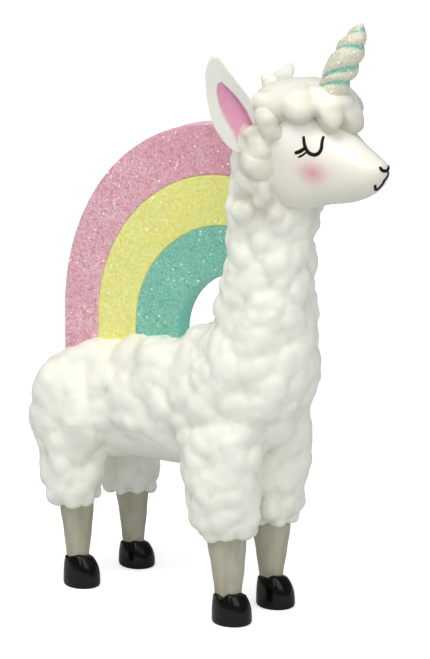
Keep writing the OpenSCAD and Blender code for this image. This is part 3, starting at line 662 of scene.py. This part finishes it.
# Painted shade on the fringe's underside below the bevel, strongest lowest; it joins the shade in the creases.
fringeShade = smoothStep(baseZ + onRim(around)[2] + crown["bevel"] - points[:, 2], *crown["shadeDepths"])
addPiece("crown_skin", points, quads.tolist(), "fleece_white", ["crown_fleece"],
         {"crease_shade": np.maximum(creases(points, quads, crown["crease_shade"]), crown["paintedShade"] * fringeShade)})

# Head: rings from the back of the skull to the nose; a place on it is x along the head and an angle round it,
# 90 at the top, 180 on the right cheek.
head = {
    # x, z, half height, half width
    "skull": [[16.2, 141.4, 3, 3], [17.8, 141.4, 8.4, 7.1], [21.6, 141.4, 12.9, 10.4], [28.9, 139.4, 16.6, 11.8],
              [36.1, 138, 15.9, 11.8], [43.3, 136.5, 12, 9.9], [51, 134.9, 8.5, 7.7], [56.9, 134.9, 5.6, 5.6],
              [60.2, 135.8, 3.3, 3.2], [61.3, 136, 1.6, 1.6], [61.7, 136, 0.1, 0.1]],
    # fullness of the jaw, the station where it ends, and over how many stations it fades in
    "jaw": 0.32, "jawEnd": 7, "jawFade": 3,
}


# Rings are round above and fuller below, most of all at the cheeks.
def onHead(places, angles):
    p = along(head["skull"], places)
    c, s = np.cos(angles), np.sin(angles)
    bend = np.where(s < 0, 1 - head["jaw"] * smoothStep(head["jawEnd"] - places, 0, head["jawFade"]), 1)
    return np.stack([p[..., 0] + 0 * angles, p[..., 3] * np.sign(c) * np.abs(c) ** bend,
                     p[..., 1] + p[..., 2] * np.sign(s) * np.abs(s) ** bend], -1)


rows = np.linspace(0, len(head["skull"]) - 1, 150)[:, None]
addPiece("head_form", *shell(onHead(rows, turns(110)[None])), "face_white", ["head"])

# Brush lines on the face: a path of (place along the head in stations, angle round it) swept by a round brush that is
# sunk into the paint, thick in the middle and fine at both ends. The right eye's lines are mirrored to the left.
faceLines = {
    "eye": [(4.54, 147), (4.63, 153.8), (4.71, 158), (4.82, 161), (4.95, 161.8), (5.1, 160), (5.21, 155),
            (5.25, 147.5), (5.2, 139), (5.16, 130)],
    "lash": [(4.71, 158), (4.53, 165), (4.34, 169.5)],
    "fineLash": [(4.79, 161.5), (4.64, 168), (4.48, 172.3)],
    "nostril": [(8.23, 124), (8.5, 131), (8.95, 132), (9.3, 115), (9.4, 70)],
    "farNostril": [(8.1, 141), (8.4, 143), (8.8, 139), (9.25, 120)],
    "stem": [(9.4, 70), (9.4, -60), (9.05, -100), (8.6, -101), (8.2, -102), (7.8, -102), (7.6, -105), (7.63, -114),
             (7.74, -126), (7.86, -138)],
    # half width of the brush, the share of it that each line takes, and the lines on both sides or on one
    "brush": 0.58,
    "shares": {"eye": 0.92, "lash": 0.92, "fineLash": 0.5, "nostril": 0.85, "farNostril": 0.85, "stem": 0.85},
    "both": ("eye", "lash", "fineLash"), "single": [("nostril", -1), ("farNostril", 1), ("stem", -1)],
    # share of the width left at the ends of a line, what the middle adds, and height to width
    "ends": 0.65, "swelling": 0.35, "flat": 0.6,
}


def brushLine(name, side, steps=40, sides=12, tiny=0.01):
    stations = [(p, np.radians(a)) for p, a in faceLines[name]]
    path = along(stations, np.linspace(0, len(stations) - 1, steps))
    place, angle = path[:, 0], path[:, 1] if side < 0 else np.pi - path[:, 1]
    middle = onHead(place, angle)
    rise = np.cross(onHead(place, angle + tiny) - middle, onHead(place + tiny, angle) - middle)
    rise /= np.linalg.norm(rise, axis=1, keepdims=True)
    run = np.gradient(middle, axis=0)
    run /= np.linalg.norm(run, axis=1, keepdims=True)
    across = np.cross(rise, run)
    full = np.sin(np.pi * np.linspace(0, 1, steps)) ** 0.5
    thick = faceLines["shares"][name] * faceLines["brush"] * (faceLines["ends"] + faceLines["swelling"] * full)
    a = turns(sides)
    ring = across[:, None] * np.cos(a)[None, :, None] + faceLines["flat"] * rise[:, None] * np.sin(a)[None, :, None]
    return shell(middle[:, None] + thick[:, None, None] * ring)


drawn = [(name, side) for side in (-1, 1) for name in faceLines["both"]] + faceLines["single"]
shells = [brushLine(name, side) for name, side in drawn]
addPiece("face_lines", *joined(shells), "hoof_black", [], paint=blackLine)

# Ears: a leaf along its own axis whose section is a bowed lens; the front is scooped out, and the scoop is marked pink.
ears = {
    "right": {"lean": 27, "back": 13, "turn": 50, "side": -1, "out": (1.6, -1.9, 0.7)},
    "left": {"lean": 57, "back": 43, "turn": 100, "side": 1, "out": (0, 0, 0)},
    "foot": (21.2, 10.4, 144.6), "wall": 3, "bow": 3,
    # roundness of the lens and of the scoop, and how far and how wide the back swells behind the scoop
    "lens": 0.6, "scoopBend": 0.7, "swells": 0.9, "wider": 2,
    # height along the axis, outer and inner edge of the leaf; the left ear's tip is folded inward
    "rightLeaf": [[-5.4, -5.4, -4.2], [-4.4, -6.8, -2.4], [-1.2, -7.7, 1.6], [3, -8, 4.1], [6.5, -7.7, 4.8],
                  [10, -6.9, 4.5], [14, -5.6, 3.8], [17.5, -4.1, 3.3], [19.6, -3.1, 3], [21.5, -1.7, 2.7],
                  [22.7, -0.5, 2.4], [23.2, 0.2, 1.7]],
    "leftLeaf": [[-5.4, -5.4, -4.2], [-4.4, -6.8, -2.4], [-1.2, -7.7, 1], [3, -8, 2.4], [6.5, -8.4, 2],
                 [10, -8.6, 1.2], [13.3, -8.4, 0.5], [15.1, -7.6, 0.5], [17.5, -5.6, 1.3], [19.3, -2.4, 1.9],
                 [20.6, -0.5, 1.8], [21.2, 0.5, 1.2]],
    # height, middle, half width and depth of the scoop
    "scoop": [[-5, -3.2, 1.4, 0], [-3.4, -2.6, 2.6, 1.2], [0, -1.4, 3.3, 2.6], [4.5, -1.3, 3.4, 2.8],
              [9, -1.3, 2.9, 2.5], [13, -1.2, 1.8, 1.6], [15.6, -0.8, 0.6, 0], [23.2, -0.7, 0.3, 0]],
}


def turnedAbout(axis, degrees):
    c, s = np.cos(np.radians(degrees)), np.sin(np.radians(degrees))
    i, j = (axis + 1) % 3, (axis + 2) % 3
    m = np.eye(3)
    m[i, i], m[j, j], m[i, j], m[j, i] = c, c, -s, s
    return m


# Depth of the section: bow * cos^2 - bow / 2 + wall * sin^lens, less the scoop in front; the bow and the wall both
# thin out toward the tip.
def earGrid(which, rows=110, sides=150):
    side = which["side"]
    leaf = np.array(ears["rightLeaf" if side < 0 else "leftLeaf"])
    scoop = np.array(ears["scoop"])
    p = along(leaf, np.linspace(0, len(leaf) - 1, rows)[:, None])
    a = turns(sides)[None]
    c, s = np.cos(a), np.sin(a)
    z = p[..., 0]
    t = (z - leaf[0, 0]) / (leaf[-1, 0] - leaf[0, 0])
    across = (p[..., 1] + p[..., 2]) / 2 + (p[..., 2] - p[..., 1]) / 2 * c
    middle, half, deep = [np.interp(z, scoop[:, 0], scoop[:, k]) for k in (1, 2, 3)]
    front = s > 0
    hollow = np.clip(1 - ((across - middle) / half) ** 2, 0, 1) * front * (deep > 0.05)
    bow = ears["bow"] * np.sin(np.pi * np.clip(0.1 + 0.85 * t, 0, 1)) * (1 - 0.3 * t)
    wall = ears["wall"] / 2 * (1 - 0.2 * c**2) * (1 - 0.5 * t**2)
    x = bow * c**2 - bow / 2 + wall * np.abs(s) ** ears["lens"] * np.sign(s) - deep * hollow ** ears["scoopBend"]
    behind = np.clip(1 - ((across - middle) / (half + ears["wider"])) ** 2, 0, 1)
    x = np.where(front, x, x - ears["swells"] * deep * behind)
    grid = np.stack([x, -side * across, z + 0 * a], -1)
    spin = turnedAbout(0, -side * which["lean"]) @ turnedAbout(1, -which["back"]) @ turnedAbout(2, side * which["turn"])
    foot = np.array(ears["foot"]) * [1, side, 1] + which["out"]
    # Share of painted shade on the inner wall of the scoop, which is turned from the light.
    inner = smoothStep((across - middle) / half, 0.25, 0.9) * hollow**0.3
    return (grid @ spin.T + foot)[:, ::side], hollow[:, ::side], inner[:, ::side]


for key in ("right", "left"):
    grid, hollow, inner = earGrid(ears[key])
    addPiece("ear_form_" + key, *shell(grid), "ear_white", ["ear_" + key],
             {"pink": onShell(hollow), "deep": onShell(inner)})

# Horn: a swelling cone with two grooves that climb round it by hand, so each has its own list of heights, one for each
# half turn; r = cone - dip, and the dip falls off with the distance from the nearest groove.
horn = {
    "foot": (41.8, 0, 155.4), "lean": 28, "length": 24.4, "width": 9.1, "dip": 1.35, "reach": 2.9, "stripe": 1.9,
    # radius at the foot, what it gains up the horn and what the tip takes off, as shares of half the width
    "atFoot": 0.95, "gain": 0.17, "tip": 1.03,
    # the side that the rings sag toward, by how much, and the angle from which half turns are counted
    "seenFrom": 310.5, "sag": 0.12, "start": 220.5,
    "halfTurns": [-3, -2, -1, 0, 1, 2, 3, 4, 5],
    "grooves": [[-0.8, -0.6, -0.25, 0.03, 0.24, 0.58, 0.73, 1.1, 1.4],
                [-0.9, -0.7, -0.3, 0.16, 0.5, 0.82, 0.95, 1.25, 1.5]],
    # how much paint is left in the brush at the same half turns
    "paint": [[1, 1, 1, 0.5, 1, 0.55, 1, 0.6, 1], [1, 1, 1, 0.9, 1, 0.5, 1, 0.6, 1]],
}


def hornGrid(rows=170, sides=120, farAway=99):
    t = np.linspace(0, 1, rows)[:, None]
    a = turns(sides)[None]
    cone = horn["width"] / 2 * (horn["atFoot"] + horn["gain"] * t - horn["tip"] * t**4)
    level = t - horn["sag"] * np.cos(a - np.radians(horn["seenFrom"])) * cone / cone[0, 0]
    turn = (a - np.radians(horn["start"])) % (2 * np.pi) / np.pi
    away, stripe = farAway + 0 * (t + a), 0 * (t + a)
    for heights, paint in zip(horn["grooves"], horn["paint"]):
        for whole in (-2, 0, 2):
            gap = horn["length"] * np.abs(level - np.interp(turn + whole, horn["halfTurns"], heights))
            away = np.minimum(away, gap)
            brushed = np.interp(turn + whole, horn["halfTurns"], paint)
            stripe = np.maximum(stripe, brushed * np.clip(1 - gap / horn["stripe"], 0, 1))
    groove = np.clip(1 - away / horn["reach"], 0, 1)
    r = np.maximum(cone - horn["dip"] * groove**1.5 * (1 - 0.6 * t), 0.05)
    grid = np.stack([r * np.cos(a), r * np.sin(a), horn["length"] * t + 0 * a], -1)
    return grid @ turnedAbout(1, horn["lean"]).T + horn["foot"], stripe


grid, stripe = hornGrid()
addPiece("horn_form", *shell(grid), "horn_glitter", ["horn"], {"groove": onShell(stripe)})

# Rainbow: a rounded bar section carried up a straight foot and round a quarter circle, three times. Toward the feet the
# joints between the bands drift outward by up to "drift".
rainbow = {
    "middle": (10.2, 77.5), "outer": 63.5, "band": 14.4, "overlap": 0.04, "half": 2.9, "edge": 0.55,
    # angle at which the bands stop over the neck, drift of each joint, and the angle over which it fades
    "stop": 87, "drift": [0, 1.7, 2, 1], "driftOver": 1.1, "footRings": 24, "archRings": 90,
    # name, height of the foot, slot
    "bands": [("outer", 60.0, "glitter_pink"), ("middle", 64.9, "glitter_yellow"),
              ("inner", 69.8, "glitter_turquoise")],
}


# Corners of the section follow quarter circles; the flats between them are divided so that bends stay smooth.
def barSection(width, half, edge, bend=7, flat=10, longest=1.0):
    q = np.linspace(0, np.pi / 2, bend)
    corners = [(width - edge, half - edge, 0), (edge, half - edge, 1), (edge, edge - half, 2),
               (width - edge, edge - half, 3)]
    loop = np.concatenate([np.stack([x + edge * np.cos(q + k * np.pi / 2), y + edge * np.sin(q + k * np.pi / 2)], -1)
                           for x, y, k in corners])
    ends = np.roll(loop, -1, axis=0)
    steps = np.where(np.linalg.norm(ends - loop, axis=1) > longest, flat, 1)
    return np.concatenate([a + (b - a) * np.linspace(0, 1, n, endpoint=False)[:, None]
                           for a, b, n in zip(loop, ends, steps)])


midX, midZ = rainbow["middle"]
section = barSection(rainbow["band"] + rainbow["overlap"], rainbow["half"], rainbow["edge"])
# Share of the smooth tone, with its painted highlight, on the bars' walls and rounded edges.
wall = smoothStep(rainbow["half"] - np.abs(section[:, 1]), 0, rainbow["edge"])
for index, (key, footZ, slot) in enumerate(rainbow["bands"]):
    rise = np.linspace(footZ, midZ, rainbow["footRings"])[:-1]
    arch = np.linspace(np.pi, np.radians(rainbow["stop"]), rainbow["archRings"])
    theta = np.concatenate([0 * rise + np.pi, arch])[:, None]
    base = np.concatenate([rise, np.full(len(arch), midZ)])[:, None]
    low = 1 - smoothStep(np.pi - theta, 0, rainbow["driftOver"])
    edges = [rainbow["outer"] - k * rainbow["band"] + rainbow["drift"][k] * low for k in (index, index + 1)]
    rho = edges[1] + (edges[0] - edges[1]) * section[None, :, 0] / rainbow["band"]
    grid = np.stack([midX + rho * np.cos(theta), section[None, :, 1] + 0 * theta, base + rho * np.sin(theta)], -1)
    addPiece("rainbow_band_" + key, *shell(grid[:, ::-1]), slot, ["rainbow_" + key],
             {"wall": onShell(np.tile(wall[::-1], len(grid)))})

# Legs: a shank is a tapering stack of rings, a hoof a flat slipper with a full toe and a brushed, wavy upper edge.
legs = {
    # x, y, radius of the shank at its top and at the hoof, lean at the hoof, angle and depth of the notch in the hoof's
    # edge, height and size of the hoof
    "feet": {"front_right": (13, -9.7, 5.6, 3.85, 0.6, -80, 0.9, 8.4, 1),
             "front_left": (13, 9.7, 5.6, 3.4, 0, -72, 0.5, 8.6, 0.97),
             "rear_right": (-41, -11.8, 4.9, 3.25, 0.3, -110, 0.3, 8.6, 0.93),
             "rear_left": (-41, 11.8, 4.9, 3.25, 0.6, -72, 0.25, 7, 0.92)},
    # lowest and highest z of a shank, where its taper starts and how tall that is, and over what height it leans
    "shankZ": (5, 28), "taperZ": 9.2, "taper": 14.8, "leanOver": 18,
    # half width and half length of a hoof, how far it stands ahead, and the play between it and the shank
    "halfWidth": 5.2, "halfLength": 6, "ahead": 1.6, "play": 0.12,
    # height of the hoof's rounded sole, how far it is drawn in there and at the lip, and half width of the notch
    "soleZ": 1.1, "soleIn": 0.1, "lipIn": 0.15, "notchTurn": 0.42,
}


# Radius from the hoof to the top, with two faint waves round it.
def shankGrid(x, y, top, low, lean, rows=40, sides=56):
    z = np.linspace(*legs["shankZ"], rows)[:, None]
    a = turns(sides)[None]
    r = low + (top - low) * (z - legs["taperZ"]) / legs["taper"]
    r = r * (1 + 0.012 * np.sin(3 * a + z * 0.35) + 0.01 * np.sin(z * 0.9 + 2 * a))
    leaning = lean * smoothStep(legs["shankZ"][1] - z, 0, legs["leanOver"])
    return np.stack([x + leaning + r * np.cos(a), y + r * np.sin(a), z + 0 * a], -1)


# The upper edge is higher in front, waves a little and dips at the notch; fullness falls from the sole to the shank.
def hoofGrid(x, y, low, lean, notch, deep, tall, size, rows=44, sides=96):
    a = turns(sides)[None]
    f = np.linspace(0, 1, rows)[:, None]
    away = np.abs((a - np.radians(notch) + np.pi) % (2 * np.pi) - np.pi)
    brow = 0.8 * np.cos(a + 0.86) + 0.12 * np.sin(3 * a + notch) + 0.1 * np.sin(5 * a)
    brow = brow - deep * np.clip(1 - away / legs["notchTurn"], 0, 1)
    z = tall * f + brow * smoothStep(f, 0.35, 1)
    full = np.cos(np.radians(75 * f**1.7))
    rounded = np.sqrt(np.clip(1 - (1 - np.clip(z / legs["soleZ"], 0, 1)) ** 2, 0, 1))
    sole = 1 - legs["soleIn"] + legs["soleIn"] * rounded
    lip = 1 - legs["lipIn"] * smoothStep(f, 0.95, 1)
    r = low + legs["play"]
    halfW = (r + (legs["halfWidth"] * size - r) * full) * sole * lip
    halfL = (r + (legs["halfLength"] * size - r) * full) * sole * lip
    middle = x + lean * (1 - 0.5 * full) + legs["ahead"] * full
    return np.stack([middle + halfL * np.cos(a), y + halfW * np.sin(a), z], -1)


for key, (x, y, top, low, lean, notch, deep, tall, size) in legs["feet"].items():
    addPiece("leg_form_" + key, *shell(shankGrid(x, y, top, low, lean)), "leg_grey", ["shank_" + key])
    grid = hoofGrid(x, y, low, lean, notch, deep, tall, size)
    addPiece("hoof_form_" + key, *shell(grid), "hoof_black", ["hoof_" + key])

# Tail: a hanging tuft of three round lumps and the root that joins them to the rump, fused and softened.
tail = {
    # middle and half sizes
    "lumps": [(-57.2, 0, 53.6, 3.6, 4, 3.2), (-58.6, 0.4, 49, 3, 3.8, 3.8),
              (-59.2, -0.2, 44.8, 2.4, 2.8, 3.2), (-53.6, 0, 53.5, 3.4, 2, 2)],
    "voxel": 0.4, "crease_shade": 0.4,
}
points, quads = lumpy([ball(lump) for lump in tail["lumps"]], tail["voxel"], {
    "soften": 5, "finish": 2, "inset": evenly(0.2), "domes": [(evenly(3.4), evenly(0.6), 0.72)],
}, seed=3)
addPiece("tail_form", points, quads.tolist(), "fleece_white", ["tail_tuft"],
         {"crease_shade": creases(points, quads, tail["crease_shade"])})

# Pins and wires stay as they are in the part; they are hidden inside the castings.
for name in ["horn_pin", "neck_pin", "rainbow_pins"] + ["leg_wire_" + key for key in legs["feet"]]:
    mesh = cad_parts[name].data
    mesh.materials.clear()
    mesh.materials.append(paints["steel"])

# Stage: a wide white floor that keeps the soft shadow, lit to white for the camera. A large key softbox hangs over the
# right side, a fill softbox stands before the chest, and a narrow upright lamp draws the streaks on the hooves.
stage = {
    "floor": 3000, "glow": 0.5, "warm": (1, 0.985, 0.93), "aimZ": 85,
    # direction, distance, sides and power of each lamp
    "lamps": {"key softbox": ((0.06, -0.42, 0.9), 900, (620, 620), 4.75),
              "fill softbox": ((0.85, -0.35, 0.52), 1100, (700, 700), 2.45),
              "streak lamp": ((0.36, -0.8, 0.42), 900, (60, 420), 0.55)},
    # strength of the sky at the horizon, overhead and in reflections, and its tint
    "horizon": 0.5, "zenith": 0.58, "mirrored": 0.15, "skyTint": (0.97, 0.99, 1.04, 1),
}
half = stage["floor"] / 2
floorMesh = newMesh("floor", [[-half, -half, 0], [half, -half, 0], [half, half, 0], [-half, half, 0]], [[0, 1, 2, 3]])
floor = newObject("floor", floorMesh)
material, tree = newMaterial("white paper sweep")
paper = mix(tree, noise(tree, size=60), "#f7f7f7", "#f3f3f3")
seenByCamera = addNode(tree, "LightPath")["Is Camera Ray"]
matt = addNode(tree, "BsdfDiffuse", {"Color": mix(tree, seenByCamera, "#d0d2d3", paper)})
glow = addNode(tree, "Emission", {"Strength": calc(tree, "MULTIPLY", seenByCamera, stage["glow"])})
both = addNode(tree, "AddShader", {0: matt[0], 1: glow[0]})
addNode(tree, "OutputMaterial", {"Surface": both[0]})
floorMesh.materials.append(material)

world = bpy.data.worlds.new("studio")
bpy.context.scene.world = world
world.use_nodes = True
tree = world.node_tree
tree.nodes.clear()
ray = addNode(tree, "LightPath")
direction = addNode(tree, "TexCoord")["Generated"]
upward = addNode(tree, "SeparateXYZ", {0: direction})[2]
ambient = mapped(tree, upward, 0.0, 0.9, stage["horizon"], stage["zenith"])
plain = mapped(tree, ray["Is Glossy Ray"], 0.0, 1.0, ambient, stage["mirrored"])
strength = calc(tree, "MAXIMUM", plain, ray["Is Camera Ray"])
tint = mix(tree, ray["Is Camera Ray"], stage["skyTint"], "#ffffff")
sky = addNode(tree, "Background", {"Color": tint, "Strength": strength})
addNode(tree, "OutputWorld", {"Surface": sky[0]})

for name, (direction, far, side, power) in stage["lamps"].items():
    lamp = bpy.data.lights.new(name, "AREA")
    lamp.shape = "RECTANGLE"
    lamp.size, lamp.size_y = side[0] * mm, side[1] * mm
    lamp.energy = power
    lamp.color = stage["warm"]
    holder = newObject(name, lamp)
    aim = Vector(direction).normalized()
    holder.location = Vector((0, 0, stage["aimZ"] * mm)) + aim * far * mm
    holder.rotation_euler = aim.to_track_quat("Z", "Y").to_euler()

# Camera: a long lens two metres away, ahead of the right side and a little above.
shot = {"azimuth": 40.5, "elevation": 16.4, "far": 2.0, "target": (0.45, 0, 80.4), "lens": 391.5}
az, el = np.radians(shot["azimuth"]), np.radians(shot["elevation"])
toward = Vector((np.sin(az) * np.cos(el), -np.cos(az) * np.cos(el), np.sin(el)))
lens = bpy.data.cameras.new("camera")
lens.lens = shot["lens"]
lens.sensor_width = 36
lens.clip_end = 10
camera = newObject("camera", lens)
camera.location = Vector(shot["target"]) * mm + toward * shot["far"]
camera.rotation_euler = toward.to_track_quat("Z", "Y").to_euler()
bpy.context.scene.camera = camera
bpy.context.scene.view_settings.view_transform = "Standard"
print("stage set")
